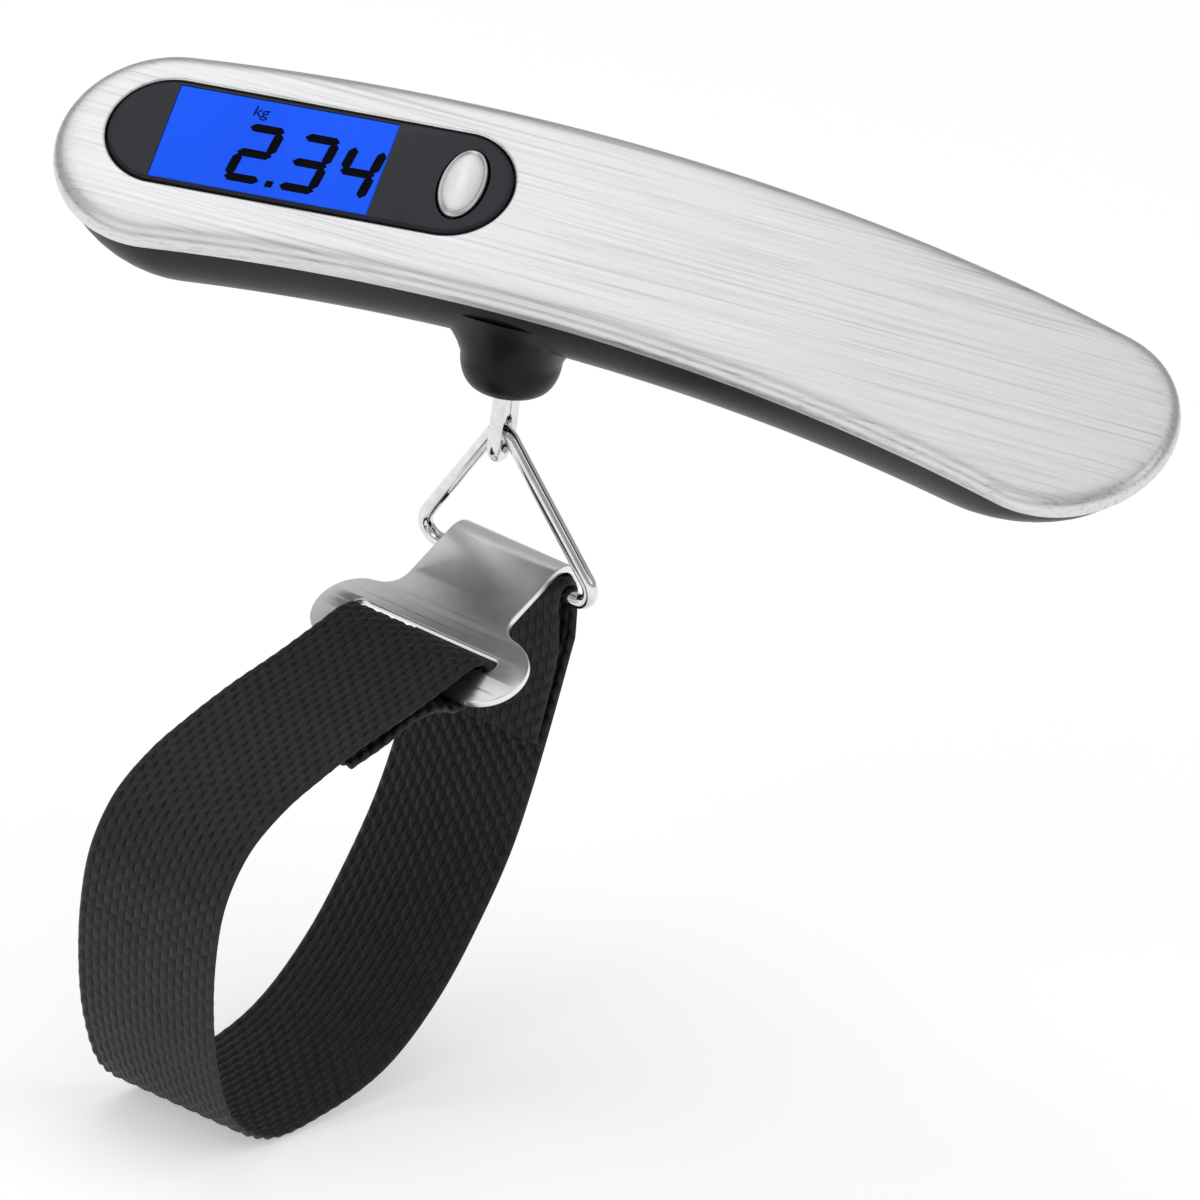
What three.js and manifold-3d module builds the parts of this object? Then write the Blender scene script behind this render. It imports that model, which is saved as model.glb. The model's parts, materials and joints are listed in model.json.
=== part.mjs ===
// Digital luggage scale: arched handle with a display, a chrome ring on a
// wire eye, and a webbing loop closed by a stamped hook plate.
// Millimetres. Origin: load axis at the top of the handle's steel plate.
// +X runs away from the display end, -Y is the front, +Z is up.
import * as THREE from 'three';
import { mergeVertices } from 'three/addons/utils/BufferGeometryUtils.js';
import Module from 'manifold-3d';

const wasm = await Module();
wasm.setup();

// ---- driving dimensions ----
const TILT = THREE.MathUtils.degToRad(31.6); // handle top leans to the front
const ARC_R = 338; // arch of the handle's centreline, in the plate's plane
const ARC_X = 6.55;
const ARC_Y = -0.72 - ARC_R;
const BAR_LEFT = -69.7;
const BAR_RIGHT = 102;
const BAR_HALF = 16.4;
const PLATE_T = 0.6;
const RIM_DEPTH = 3;
const GAP = 0.3;

const HULL_INSET = 1;
const HULL_TOP = -2.8;
const HULL_DEPTH = 15.9;
const HULL_WALL = 1.8;
const HULL_EXP = 3;
const HULL_LEVELS = 7;
const RIGHT_TAPER = 27;
const LEFT_TAPER = 12;

const DISPLAY_X = -33;
const DISPLAY_Y = -1.9;
const DISPLAY_TURN = THREE.MathUtils.degToRad(5.5);
const WINDOW_R = 9.1;
const WINDOW_HALF = 21;
const LCD_X = -5.4;
const BUTTON_X = 22.7;
const BUTTON_RX = 3.3;
const BUTTON_RY = 5.95;

const BOSS_BOTTOM = -28.2;
const BOSS_R = 7.25;
const BOSS_FLARE_R = 9.6;
const BOSS_HOLE_R = 4.4;

const EYE_WIRE_R = 1;
const EYE_HALF = 2.8;
const EYE_TOP = -13;
const EYE_BOTTOM = -35.8;
const PIN_R = 1.3;
const PIN_Z = -12.8;

const RING_WIRE_R = 1.1;
const RING_HALF = 15.3;
const RING_HEIGHT = 23.7;
const RING_YAW = THREE.MathUtils.degToRad(-17);
const RING_LEAN = THREE.MathUtils.degToRad(13);
const RING_APEX_Z = -35;

const HOOK_T = 1.2;
const HOOK_MID_R = 3.6;
const HOOK_SLOPE = THREE.MathUtils.degToRad(29);
const HOOK_WRAP = THREE.MathUtils.degToRad(165);
const HOOK_LENGTH = 25.5;
const HOOK_NECK = 19.3;
const HOOK_WIDTH = 37;
const SLOT_CENTRE = 18.3;
const SLOT_W = 3;
const SLOT_L = 26.5;

const STRAP_W = 25;
const STRAP_T = 1.4;
const STRAP_EYE_W = 22.4;

const colours = {
  steel: [0xc9cacb, 0.35, 1],
  chrome: [0xd8d9da, 0.1, 1],
  black: [0x1b1b1c, 0.5, 0],
  window: [0x14161b, 0.1, 0],
  lcd: [0x0c46e6, 0.2, 0],
  white: [0xe8e8e4, 0.5, 0],
  board: [0x1c5a34, 0.5, 0],
  gold: [0xc9a54a, 0.3, 1],
  webbing: [0x1a1a1a, 0.95, 0],
  alloy: [0xb9bcc0, 0.4, 1],
  red: [0xb02020, 0.5, 0],
  grey: [0x6c6e70, 0.8, 0],
};

function mesh(name, geometry, colour) {
  const [color, roughness, metalness] = colours[colour];
  const material = new THREE.MeshStandardMaterial({ color, roughness, metalness });
  const made = new THREE.Mesh(geometry, material);
  made.name = name;
  return made;
}

// ---- solids ----
function solid(geometry) {
  let bare = geometry.clone();
  bare.deleteAttribute('normal');
  bare.deleteAttribute('uv');
  bare = mergeVertices(bare, 1e-4);
  const vertProperties = new Float32Array(bare.attributes.position.array);
  const triVerts = new Uint32Array(bare.index.array);
  return new wasm.Manifold(new wasm.Mesh({ numProp: 3, vertProperties, triVerts }));
}

function geometryOf(manifold) {
  const made = manifold.getMesh();
  const geometry = new THREE.BufferGeometry();
  geometry.setAttribute('position', new THREE.BufferAttribute(made.vertProperties, 3));
  geometry.setIndex(new THREE.BufferAttribute(made.triVerts, 1));
  return geometry;
}

function cut(geometry, ...tools) {
  let result = solid(geometry);
  for (const tool of tools) result = result.subtract(solid(tool));
  return geometryOf(result);
}

function join(...pieces) {
  let result = solid(pieces[0]);
  for (const piece of pieces.slice(1)) result = result.add(solid(piece));
  return geometryOf(result);
}

function common(a, b) {
  return geometryOf(solid(a).intersect(solid(b)));
}

function prism(shape, low, high, segments = 12) {
  const options = { depth: high - low, bevelEnabled: false, curveSegments: segments };
  return new THREE.ExtrudeGeometry(shape, options).translate(0, 0, low);
}

function box(x0, x1, y0, y1, z0, z1) {
  const geometry = new THREE.BoxGeometry(x1 - x0, y1 - y0, z1 - z0);
  return geometry.translate((x0 + x1) / 2, (y0 + y1) / 2, (z0 + z1) / 2);
}

function post(x, y, low, high, radius, segments = 20) {
  const geometry = new THREE.CylinderGeometry(radius, radius, high - low, segments);
  return geometry.rotateX(Math.PI / 2).translate(x, y, (low + high) / 2);
}

function stadium(half, radius) {
  const shape = new THREE.Shape();
  shape.absarc(half, 0, radius, -Math.PI / 2, Math.PI / 2, false);
  shape.absarc(-half, 0, radius, Math.PI / 2, Math.PI * 1.5, false);
  return shape;
}

function oval(x, rx, ry) {
  const shape = new THREE.Shape();
  shape.absellipse(x, 0, rx, ry, 0, Math.PI * 2, false, 0);
  return shape;
}

// Closed wire along a flat loop of points in the plane with the given normal.
function wireLoop(points, normal, radius, sides = 10) {
  const count = points.length;
  const positions = [];
  const index = [];
  for (let i = 0; i < count; i += 1) {
    const before = points[(i + count - 1) % count];
    const after = points[(i + 1) % count];
    const out = new THREE.Vector3().subVectors(after, before).normalize().cross(normal);
    for (let j = 0; j < sides; j += 1) {
      const turn = (j / sides) * Math.PI * 2;
      const point = points[i].clone();
      point.addScaledVector(out, Math.cos(turn) * radius);
      point.addScaledVector(normal, Math.sin(turn) * radius);
      positions.push(point.x, point.y, point.z);
      const a = i * sides + j;
      const b = i * sides + ((j + 1) % sides);
      const c = ((i + 1) % count) * sides + j;
      const d = ((i + 1) % count) * sides + ((j + 1) % sides);
      index.push(a, c, b, b, c, d);
    }
  }
  const geometry = new THREE.BufferGeometry();
  geometry.setAttribute('position', new THREE.Float32BufferAttribute(positions, 3));
  geometry.setIndex(index);
  return outward(geometry);
}

// Faces of a closed indexed geometry turned to point out.
function outward(geometry) {
  const p = geometry.attributes.position;
  const index = geometry.index.array;
  const [a, b, c] = [new THREE.Vector3(), new THREE.Vector3(), new THREE.Vector3()];
  let volume = 0;
  for (let i = 0; i < index.length; i += 3) {
    a.fromBufferAttribute(p, index[i]);
    b.fromBufferAttribute(p, index[i + 1]);
    c.fromBufferAttribute(p, index[i + 2]);
    volume += a.dot(b.cross(c));
  }
  if (volume < 0) {
    for (let i = 0; i < index.length; i += 3) {
      [index[i + 1], index[i + 2]] = [index[i + 2], index[i + 1]];
    }
  }
  return geometry;
}

// ---- handle outline: an arc-shaped bar with round ends ----
function onArc(x) {
  const turn = Math.asin((x - ARC_X) / ARC_R);
  return { x, y: ARC_Y + ARC_R * Math.cos(turn), turn };
}

function barShape(half, left, right) {
  const a = onArc(left + half);
  const b = onArc(right - half);
  const up = Math.PI / 2;
  const shape = new THREE.Shape();
  shape.absarc(ARC_X, ARC_Y, ARC_R + half, up - a.turn, up - b.turn, true);
  shape.absarc(b.x, b.y, half, up - b.turn, -up - b.turn, true);
  shape.absarc(ARC_X, ARC_Y, ARC_R - half, up - b.turn, up - a.turn, false);
  shape.absarc(a.x, a.y, half, -up - a.turn, -up * 3 - a.turn, true);
  return shape;
}

function inset(by) {
  return barShape(BAR_HALF - by, BAR_LEFT + by, BAR_RIGHT - by);
}

// A closed outline's points without the ones that repeat where arcs meet.
function distinct(points) {
  return points.filter((p, i) => p.distanceTo(points[(i + 1) % points.length]) > 1e-3);
}

// Hull as stacked outlines that draw in towards the bottom.
function hullSolid(by, top, depth) {
  const rings = [];
  for (let level = 0; level <= HULL_LEVELS; level += 1) {
    const turn = (level / HULL_LEVELS) * 1.36;
    const t = Math.sin(turn) ** (2 / HULL_EXP);
    const width = (BAR_HALF - HULL_INSET - by) * Math.cos(turn) ** (2 / HULL_EXP);
    const left = BAR_LEFT + HULL_INSET + by + LEFT_TAPER * t ** 2.2;
    const right = BAR_RIGHT - HULL_INSET - by - RIGHT_TAPER * t ** 1.8;
    const z = level === 0 ? top : HULL_TOP - depth * t;
    rings.push({ z, points: distinct(barShape(width, left, right).getPoints(7)).reverse() });
  }
  const count = rings[0].points.length;
  const positions = [];
  const index = [];
  for (const ring of rings) {
    for (const point of ring.points) positions.push(point.x, point.y, ring.z);
  }
  for (let i = 0; i < rings.length - 1; i += 1) {
    for (let j = 0; j < count; j += 1) {
      const a = i * count + j;
      const b = i * count + ((j + 1) % count);
      index.push(a, a + count, b, b, a + count, b + count);
    }
  }
  for (const last of [0, rings.length - 1]) {
    for (const [a, b, c] of THREE.ShapeUtils.triangulateShape([...rings[last].points], [])) {
      const o = last * count;
      if (last === 0) index.push(o + a, o + b, o + c);
      else index.push(o + c, o + b, o + a);
    }
  }
  const geometry = new THREE.BufferGeometry();
  geometry.setAttribute('position', new THREE.Float32BufferAttribute(positions, 3));
  geometry.setIndex(index);
  return outward(geometry);
}

// ---- handle shells ----
const inDisplay = new THREE.Matrix4().makeRotationZ(DISPLAY_TURN);
inDisplay.setPosition(DISPLAY_X, DISPLAY_Y, 0);
const placed = (geometry) => geometry.applyMatrix4(inDisplay);

function frontPlate() {
  const outer = prism(inset(0), -RIM_DEPTH, 0, 16);
  const hollow = prism(inset(PLATE_T), -RIM_DEPTH - 1, -PLATE_T, 16);
  const opening = placed(prism(stadium(WINDOW_HALF, WINDOW_R), -5, 5));
  return cut(outer, hollow, opening);
}

function upperFrame() {
  const disc = prism(inset(0.9), -2.5, -0.9);
  const pillars = SCREWS.map(([x, y]) => post(x, y, -9, -2.4, 2.1));
  const pocket = placed(prism(stadium(WINDOW_HALF, WINDOW_R), -1.7, 0));
  const lcdHole = placed(box(LCD_X - 17, LCD_X + 17, -8.4, 8.4, -5, 0));
  const buttonHole = placed(prism(oval(BUTTON_X, BUTTON_RX + 0.4, BUTTON_RY + 0.4), -5, 0));
  const pilots = SCREWS.map(([x, y]) => post(x, y, -10, -3.4, 1.2, 12));
  return cut(join(disc, ...pillars), pocket, lcdHole, buttonHole, ...pilots);
}

const SCREWS = [[-60.2, -3], [-60.2, -11], [87, -5.4], [87, -15.4]];
const DOOR = { x0: 44, x1: 72, y0: -15, y1: 5, z1: -9 };
const BATTERY_X = 58;
const BATTERY_Y = -5;

function lowerHousing() {
  const unTilt = (geometry) => geometry.rotateX(-TILT);
  const profile = [
    [0, -14.6], [BOSS_FLARE_R, -14.6], [BOSS_FLARE_R - 0.5, -16.6], [BOSS_R + 0.9, -18.8],
    [BOSS_R + 0.3, -21], [BOSS_R, -23], [BOSS_R - 0.5, -25.4], [BOSS_R - 2, -27.5],
    [BOSS_HOLE_R, BOSS_BOTTOM], [0, BOSS_BOTTOM],
  ];
  const boss = unTilt(lathe(profile, 32));
  const bossHollow = unTilt(post(0, 0, -60, -14, BOSS_HOLE_R, 28));
  const inside = hullSolid(HULL_WALL, 5, HULL_DEPTH - HULL_WALL);
  const towers = SCREWS.map(([x, y]) => post(x, y, -17.2, -9.3, 3.2));
  const kept = common(join(...towers), hullSolid(0.5, 0, HULL_DEPTH - 0.5));
  const shell = cut(join(hullSolid(0, HULL_TOP, HULL_DEPTH), boss), inside);
  const bores = SCREWS.map(([x, y]) => post(x, y, -30, 0, 1.5, 14));
  const heads = SCREWS.map(([x, y]) => post(x, y, -30, -11.2, 2.5, 18));
  const doorway = box(DOOR.x0, DOOR.x1, DOOR.y0, DOOR.y1, -30, DOOR.z1);
  return cut(join(shell, kept), bossHollow, ...bores, ...heads, doorway);
}

function lathe(profile, segments) {
  const points = profile.map(([r, z]) => new THREE.Vector2(r, z));
  const geometry = mergeVertices(strip(new THREE.LatheGeometry(points, segments)), 1e-4);
  return outward(geometry.rotateX(Math.PI / 2));
}

function strip(geometry) {
  geometry.deleteAttribute('normal');
  geometry.deleteAttribute('uv');
  return geometry;
}

function batteryDoor() {
  const by = GAP;
  const panel = common(
    cut(hullSolid(0, HULL_TOP, HULL_DEPTH), hullSolid(HULL_WALL, 5, HULL_DEPTH - HULL_WALL)),
    box(DOOR.x0 + by, DOOR.x1 - by, DOOR.y0 + by, DOOR.y1 - by, -30, DOOR.z1 - by),
  );
  const rib = post(BATTERY_X, BATTERY_Y, -17.6, -11.2, 5, 24);
  const ribBore = post(BATTERY_X, BATTERY_Y, -16.9, -9, 3.8, 24);
  return join(panel, cut(rib, ribBore));
}

// ---- handle contents ----
function buttonCap() {
  const body = prism(oval(BUTTON_X, BUTTON_RX, BUTTON_RY), -2.4, 0.5);
  const crown = prism(oval(BUTTON_X, BUTTON_RX - 0.5, BUTTON_RY - 0.5), 0.4, 0.9);
  const flange = prism(oval(BUTTON_X, BUTTON_RX + 0.9, BUTTON_RY + 0.9), -3.5, -2.8);
  const neck = prism(oval(BUTTON_X, BUTTON_RX - 0.6, BUTTON_RY - 0.6), -3.2, -2.2);
  return placed(join(body, crown, flange, neck));
}

function displayWindow() {
  const lens = prism(stadium(WINDOW_HALF, WINDOW_R - GAP), -1.4, 0.15);
  return placed(cut(lens, prism(oval(BUTTON_X, BUTTON_RX + 0.3, BUTTON_RY + 0.3), -5, 5)));
}

function lcdHolder() {
  const outer = box(LCD_X - 19, LCD_X + 19, -10.2, 10.2, -6.9, -2.8);
  return placed(cut(outer, box(LCD_X - 18.3, LCD_X + 18.3, -9.4, 9.4, -9, 0)));
}

function battery() {
  return post(BATTERY_X, BATTERY_Y, -10.9, -7.7, 10, 40);
}

function batteryHolder() {
  const cup = post(BATTERY_X, BATTERY_Y, -10.6, -5.4, 11.8, 40);
  const seat = post(BATTERY_X, BATTERY_Y, -20, -6.8, 10.4, 40);
  const contactGap = box(45, 52, BATTERY_Y - 1.6, BATTERY_Y + 1.6, -20, -7);
  return cut(cup, seat, contactGap);
}

function loadCell() {
  const bar = box(-5, 40, -4.5, 4.5, -14.5, -7);
  const pinHole = new THREE.CylinderGeometry(PIN_R + GAP, PIN_R + GAP, 20, 16);
  pinHole.rotateZ(Math.PI / 2).translate(0, 0, PIN_Z);
  const flexHole = (x) => new THREE.CylinderGeometry(2.2, 2.2, 20, 20).translate(x, 0, -10.75);
  const web = box(15, 23, -10, 10, -11.4, -10.1);
  const bolts = LOAD_BOLTS.map((x) => post(x, 0, -20, 0, 1.8, 16));
  const holes = [flexHole(14), flexHole(24)];
  const fork = box(-2.1, 2.1, -6, 6, -30, -8.6);
  return cut(bar, fork, pinHole, web, ...holes, ...bolts);
}

const LOAD_BOLTS = [31.8, 37.2];

// ---- wire eye and ring ----
function arcPoints(cx, cy, radius, from, to, steps) {
  const points = [];
  for (let i = 0; i <= steps; i += 1) {
    const turn = from + ((to - from) * i) / steps;
    points.push([cx + radius * Math.cos(turn), cy + radius * Math.sin(turn)]);
  }
  return points;
}

function eyeLink() {
  const top = arcPoints(0, EYE_TOP, EYE_HALF, 0, Math.PI, 10);
  const bottom = arcPoints(0, EYE_BOTTOM, EYE_HALF, Math.PI, Math.PI * 2, 10);
  const points = [...top, ...bottom].map(([y, z]) => new THREE.Vector3(0, y, z));
  return wireLoop(points, new THREE.Vector3(1, 0, 0), EYE_WIRE_R);
}

// Closed outline with each corner rounded to its radius.
function roundedLoop(corners, radii, steps = 8) {
  const points = [];
  corners.forEach((corner, i) => {
    const before = corners[(i + corners.length - 1) % corners.length];
    const after = corners[(i + 1) % corners.length];
    const toBefore = new THREE.Vector2().subVectors(before, corner).normalize();
    const toAfter = new THREE.Vector2().subVectors(after, corner).normalize();
    const half = Math.acos(toBefore.dot(toAfter)) / 2;
    const middle = new THREE.Vector2().addVectors(toBefore, toAfter).normalize();
    const centre = corner.clone().addScaledVector(middle, radii[i] / Math.sin(half));
    const first = corner.clone().addScaledVector(toBefore, radii[i] / Math.tan(half));
    const sweep = Math.PI - half * 2;
    const from = Math.atan2(first.y - centre.y, first.x - centre.x);
    const sign = Math.sign(toAfter.cross(toBefore));
    for (let k = 0; k <= steps; k += 1) {
      const turn = from + (sign * sweep * k) / steps;
      const offset = new THREE.Vector2(Math.cos(turn), Math.sin(turn));
      points.push(centre.clone().addScaledVector(offset, radii[i]));
    }
  });
  return points;
}

// Ring in its own plane: top of the apex at the origin, base below.
function ringWire() {
  const foot = RING_HALF + 2.3;
  const corners = [
    new THREE.Vector2(0, 1.7),
    new THREE.Vector2(foot, -RING_HEIGHT),
    new THREE.Vector2(-foot, -RING_HEIGHT),
  ];
  const flat = roundedLoop(corners, [2.2, 2.6, 2.6]);
  const points = flat.map(({ x, y }) => new THREE.Vector3(x, 0, y));
  return wireLoop(points, new THREE.Vector3(0, 1, 0), RING_WIRE_R);
}

// ---- hook plate, in its own frame: x across, y along, z off the plate ----
function hookPlate() {
  const side = new THREE.Shape();
  const outer = HOOK_MID_R + HOOK_T / 2;
  const inner = HOOK_MID_R - HOOK_T / 2;
  const start = Math.PI / 2;
  side.moveTo(HOOK_LENGTH, outer);
  side.lineTo(0, outer);
  side.absarc(0, 0, outer, start, start + HOOK_WRAP, false);
  side.absarc(0, 0, inner, start + HOOK_WRAP, start, true);
  side.lineTo(HOOK_LENGTH, inner);
  side.closePath();
  const strip = prism(side, -HOOK_WIDTH / 2 - 1, HOOK_WIDTH / 2 + 1, 14);
  strip.applyMatrix4(SIDE_TO_HOOK);
  const slot = prism(stadium((SLOT_L - SLOT_W) / 2, SLOT_W / 2), -20, 20);
  return cut(common(strip, prism(hookOutline(), -20, 20)), slot.translate(0, SLOT_CENTRE, 0));
}

function hookOutline() {
  const neck = HOOK_NECK / 2;
  const shoulder = 13;
  const lobe = (HOOK_LENGTH - shoulder) / 2;
  const lobeX = HOOK_WIDTH / 2 - lobe;
  const fillet = 3.5;
  const quarter = Math.PI / 2;
  const shape = new THREE.Shape();
  shape.moveTo(-neck, -8);
  shape.lineTo(neck, -8);
  shape.absarc(neck + fillet, shoulder - fillet, fillet, Math.PI, quarter, true);
  shape.absarc(lobeX, shoulder + lobe, lobe, -quarter + 0.3, quarter, false);
  shape.absarc(-lobeX, shoulder + lobe, lobe, quarter, quarter * 3 - 0.3, false);
  shape.absarc(-neck - fillet, shoulder - fillet, fillet, quarter, 0, true);
  return shape;
}

// ---- webbing ----
const across = new THREE.Vector3(Math.cos(RING_YAW), Math.sin(RING_YAW), 0);
const forward = new THREE.Vector3(Math.sin(RING_YAW), -Math.cos(RING_YAW), 0);
const up = new THREE.Vector3(0, 0, 1);
const mix = (a, p, b, q) => a.clone().multiplyScalar(p).addScaledVector(b, q);
const ringUp = mix(forward, Math.sin(RING_LEAN), up, Math.cos(RING_LEAN));
const apexAt = new THREE.Vector3(0, 0, RING_APEX_Z);
const barAt = apexAt.clone().addScaledVector(ringUp, -RING_HEIGHT);
const alongHook = mix(forward, Math.cos(HOOK_SLOPE), up, -Math.sin(HOOK_SLOPE));
const offHook = mix(forward, Math.sin(HOOK_SLOPE), up, Math.cos(HOOK_SLOPE));

function place(object, x, y, z, position) {
  object.quaternion.setFromRotationMatrix(new THREE.Matrix4().makeBasis(x, y, z));
  object.position.copy(position);
  return object;
}

const inRing = (object) => place(object, across, ringUp.clone().cross(across), ringUp, apexAt);
const inHook = (object) => place(object, across.clone().negate(), alongHook, offHook, barAt);
// Side view of the webbing: shape x is forward, shape y is up, depth is across.
const inSide = (object) => place(object, forward, up, across.clone().negate(), barAt);

const LOOP = [
  [0.2, -1.6], [1.4, -9], [3.0, -18], [4.8, -27], [8, -37], [13.4, -46.6], [20.4, -56],
  [30.5, -64], [44, -67.7], [56, -68], [64.4, -63.4], [69.6, -54.5], [72.4, -44.5],
  [73.4, -35], [72.5, -27.3], [68.8, -20.8], [61, -15.3], [47, -11], [33.95, -8.35],
];

function ribbon(route, thickness, steps) {
  const curve = new THREE.CatmullRomCurve3(route.map(([x, y]) => new THREE.Vector3(x, y, 0)));
  const left = [];
  const right = [];
  for (let i = 0; i <= steps; i += 1) {
    const point = curve.getPointAt(i / steps);
    const tangent = curve.getTangentAt(i / steps);
    const toSide = new THREE.Vector2(-tangent.y, tangent.x).multiplyScalar(thickness / 2);
    left.push(new THREE.Vector2(point.x, point.y).add(toSide));
    right.push(new THREE.Vector2(point.x, point.y).sub(toSide));
  }
  return new THREE.Shape([...left, ...right.reverse()]);
}

const STRAP_EYE_R = 1.4;
const STRAP_EYE_OUT = 2.7;

function strapBand() {
  const half = STRAP_W / 2;
  const band = prism(ribbon(LOOP, STRAP_T, 56), -half, half);
  const eyeHalf = STRAP_EYE_W / 2;
  const eye = prism(stadium(0.01, STRAP_EYE_OUT), -eyeHalf, eyeHalf, 12);
  const sewn = prism(ribbon([[0.6, -2], [1.6, -9], [3.4, -18]], STRAP_T * 1.9, 8), -eyeHalf, eyeHalf);
  const clear = prism(stadium(0.01, STRAP_EYE_R), -half - 2, half + 2, 10);
  const top = box(-6, 6, -4.4, 6, eyeHalf, half + 2);
  const otherTop = box(-6, 6, -4.4, 6, -half - 2, -eyeHalf);
  return cut(join(band, eye, sewn), clear, top, otherTop);
}

// Webbing turned through the slot and sewn back on itself.
function strapHookEnd() {
  const outer = new THREE.Shape([
    [17.6, 4.7], [18.3, 6.3], [20.5, 7.4], [25.5, 8.6], [33, 10.4], [33.8, 7.7], [29, 5.9],
    [27.9, 4.2], [26.6, 1.7], [25, 1.3], [18.5, 1.4], [17.6, 2.5],
  ].map(([y, z]) => new THREE.Vector2(y, z)));
  const eye = [[19.1, 2.7], [25.9, 2.7], [26.8, 4.2], [25.9, 6.2], [20.6, 5.9], [19.1, 5]];
  outer.holes.push(new THREE.Path(eye.map(([y, z]) => new THREE.Vector2(y, z))));
  const made = prism(outer, -STRAP_W / 2, STRAP_W / 2);
  return made.applyMatrix4(SIDE_TO_HOOK);
}

const SIDE_TO_HOOK = new THREE.Matrix4().makeBasis(
  new THREE.Vector3(0, 1, 0), new THREE.Vector3(0, 0, 1), new THREE.Vector3(1, 0, 0),
);

function screw(x, y, low, seat, high, headR, shankR) {
  return join(post(x, y, low, seat, headR, 18), post(x, y, seat - 0.2, high, shankR, 12));
}

function cord(route, radius) {
  const path = new THREE.CatmullRomCurve3(route.map((p) => new THREE.Vector3(...p)));
  const section = new THREE.Shape();
  section.absarc(0, 0, radius, 0, Math.PI * 2, false);
  const options = { steps: 24, curveSegments: 4, bevelEnabled: false, extrudePath: path };
  return new THREE.ExtrudeGeometry(section, options);
}

// ---- assembly ----
const group = new THREE.Group();
const handle = new THREE.Group();
handle.rotation.x = TILT;
group.add(handle);

handle.add(mesh('front_plate', frontPlate(), 'steel'));
handle.add(mesh('upper_frame', upperFrame(), 'black'));
handle.add(mesh('lower_housing', lowerHousing(), 'black'));
handle.add(mesh('display_window', displayWindow(), 'window'));
handle.add(mesh('button_cap', buttonCap(), 'alloy'));
handle.add(mesh('lcd_holder', lcdHolder(), 'white'));
const glass = box(LCD_X - 18, LCD_X + 18, -9.1, 9.1, -4.9, -3.1);
handle.add(mesh('lcd_glass', placed(glass), 'lcd'));
const panel = box(LCD_X - 17.5, LCD_X + 17.5, -6.6, 9, -6.8, -5.2);
handle.add(mesh('backlight_panel', placed(panel), 'white'));
const led = box(LCD_X + 15, LCD_X + 17.5, -8.9, -7, -6.8, -5.3);
handle.add(mesh('backlight_led', placed(led), 'gold'));
const zebra = box(LCD_X - 16, LCD_X + 14, -8.6, -7.1, -7.1, -5.2);
handle.add(mesh('zebra_strip', placed(zebra), 'grey'));
const board = box(-24.4, 25.5, -9, 9, -8.6, -7.4);
handle.add(mesh('main_pcb', placed(board), 'board'));
const tact = join(
  box(BUTTON_X - 2.3, BUTTON_X + 2.3, -2.3, 2.3, -7.1, -5.9),
  post(BUTTON_X, 0, -6, -4.7, 1.2, 16),
);
handle.add(mesh('tact_switch', placed(tact), 'black'));
handle.add(mesh('chip_blob', placed(post(-6, 1, -10, -8.9, 4, 20)), 'black'));
handle.add(mesh('capacitor', placed(box(8, 11, -4, 0, -10.4, -8.9)), 'gold'));

handle.add(mesh('battery_door', batteryDoor(), 'black'));
handle.add(mesh('coin_cell', battery(), 'alloy'));
handle.add(mesh('battery_holder', batteryHolder(), 'black'));
handle.add(mesh('contact_positive', box(46.6, 47.7, BATTERY_Y - 1.2, BATTERY_Y + 1.2, -10.3, -7.3), 'gold'));
const leaf = cut(post(BATTERY_X, BATTERY_Y, -7.4, -7.1, 6, 24), post(BATTERY_X, BATTERY_Y, -8, -6, 3, 20));
handle.add(mesh('contact_negative', leaf, 'gold'));
SCREWS.forEach(([x, y], i) => {
  const made = screw(x, y, -13, -11.5, -4, 2.2, 1);
  handle.add(mesh(`housing_screw_${i + 1}`, made, 'alloy'));
});
const wire = (y, z) => {
  const route = [[-9, y, z - 0.8], [0, y + 1, z], [20, y + 1.4, z], [36, y, z], [45, y - 3, z]];
  return cord(route, 0.45);
};
handle.add(mesh('battery_wire_red', wire(8.2, -4.4), 'red'));
handle.add(mesh('battery_wire_black', wire(8.2, -5.8), 'black'));

group.add(mesh('load_cell', loadCell(), 'alloy'));
group.add(mesh('strain_gauge_1', box(15.5, 22.5, -2, 2, -6.7, -6.5), 'gold'));
group.add(mesh('strain_gauge_2', box(15.5, 22.5, -2, 2, -15, -14.8), 'gold'));
const baseHoles = LOAD_BOLTS.map((x) => post(x, 0, -20, 0, 1.8, 16));
const base = cut(box(29, 40, -3.2, 3.2, -16.2, -14.8), ...baseHoles);
group.add(mesh('load_cell_base', base, 'alloy'));
LOAD_BOLTS.forEach((x, i) => {
  const made = join(post(x, 0, -6.7, -5.4, 2.2, 18), post(x, 0, -16, -6.5, 1.5, 12));
  group.add(mesh(`load_cell_screw_${i + 1}`, made, 'alloy'));
});
const pin = new THREE.CylinderGeometry(PIN_R, PIN_R, 9.6, 16);
group.add(mesh('eye_pin', pin.rotateZ(Math.PI / 2).translate(0, 0, PIN_Z), 'alloy'));
group.add(mesh('eye_link', eyeLink(), 'chrome'));
group.add(inRing(mesh('ring', ringWire(), 'chrome')));
group.add(inHook(mesh('hook_plate', hookPlate(), 'steel')));
group.add(inHook(mesh('strap_hook_end', strapHookEnd(), 'webbing')));
group.add(inSide(mesh('strap_band', strapBand(), 'webbing')));

export default group;
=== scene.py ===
"""Looks of the digital luggage scale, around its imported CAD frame. Lengths are in mm until placed."""
import json
import math

import bmesh
import bpy
import numpy as np
from mathutils import Matrix, Vector


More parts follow.
